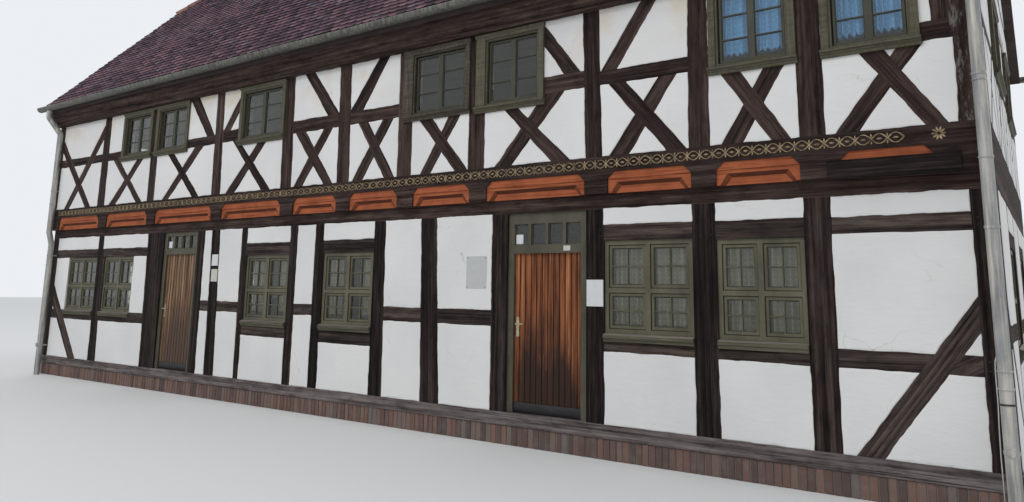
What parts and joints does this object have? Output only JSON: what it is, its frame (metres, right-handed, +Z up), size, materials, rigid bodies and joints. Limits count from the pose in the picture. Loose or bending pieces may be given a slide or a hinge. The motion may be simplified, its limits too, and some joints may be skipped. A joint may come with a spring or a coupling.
{
  "type": "half timbered house",
  "caption": "Two-storey half timbered house with jettied upper floor, cross-braced plaster panels, half-hipped tiled roof, casement windows and two boarded doors.",
  "frame": {"origin": "middle of the plan at ground level, the lowest point of the plinth", "axes": "+X along the street front to the right as seen from the street, +Y from the street front into the house, +Z up"},
  "size_m": [18.62, 8.58, 10.4053],
  "materials": {
    "brick": "rough",
    "sill_oak": "weathered",
    "floor": "worn boards",
    "oak": "dark stained, rough sawn",
    "plaster": "matt limewash",
    "fillet_paint": "terracotta paint",
    "tiles": "matt",
    "zinc": "weathered",
    "window_paint": "satin olive paint",
    "door_wood": "weathered varnish",
    "glass": "clear",
    "steel": "dull",
    "brass": "satin"
  },
  "bodies": {
    "root": {"plinth": "brick", "sill_beams": "sill_oak", "ground_floor": "floor", "upper_floor": "floor", "attic_floor": "floor", "front_posts": "oak", "front_rails": "oak", "ground_corner_braces": "oak", "front_panels": "plaster", "front_upper_posts": "oak", "front_upper_rails": "oak", "front_leaning_braces": "oak", "front_upper_panels": "plaster", "falling_cross_braces": "oak", "rising_cross_braces": "oak", "rear_posts": "oak", "rear_rails": "oak", "rear_panels": "plaster", "gable_posts": "oak", "gable_rails": "oak", "gable_panels": "plaster", "wall_plates": "oak", "floor_joists": "oak", "jetty_fillets": "fillet_paint", "jetty_cover_board": "oak", "upper_sills": "oak", "eave_plates": "oak", "sole_plates": "oak", "eave_cornices": "oak", "roof_front": "tiles", "roof_rear": "tiles", "half_hips": "tiles", "ridge_tiles": "tiles", "gutters": "zinc", "downpipes": "zinc", "window_frames": "window_paint", "window_sills": "window_paint", "ground_sashes": "window_paint", "upper_casings": "window_paint", "upper_sashes": "window_paint", "window_glass": "glass", "door_jambs": "window_paint", "door_transoms": "window_paint", "door_top_glass": "glass", "door_hinge_pins": "steel"},
    "left_door": {"left_door_leaf": "door_wood", "left_door_fittings": "brass"},
    "right_door": {"right_door_leaf": "door_wood", "right_door_fittings": "brass"}
  },
  "joints": [
    {"name": "left_door_hinge", "type": "hinge", "parent": "root", "child": "left_door", "pos_m": [-3.594, -3.57, 1.4], "axis": [0, 0, -1], "range_deg": [0, 95]},
    {"name": "right_door_hinge", "type": "hinge", "parent": "root", "child": "right_door", "pos_m": [4.616, -3.57, 1.4], "axis": [0, 0, -1], "range_deg": [0, 95]}
  ]
}
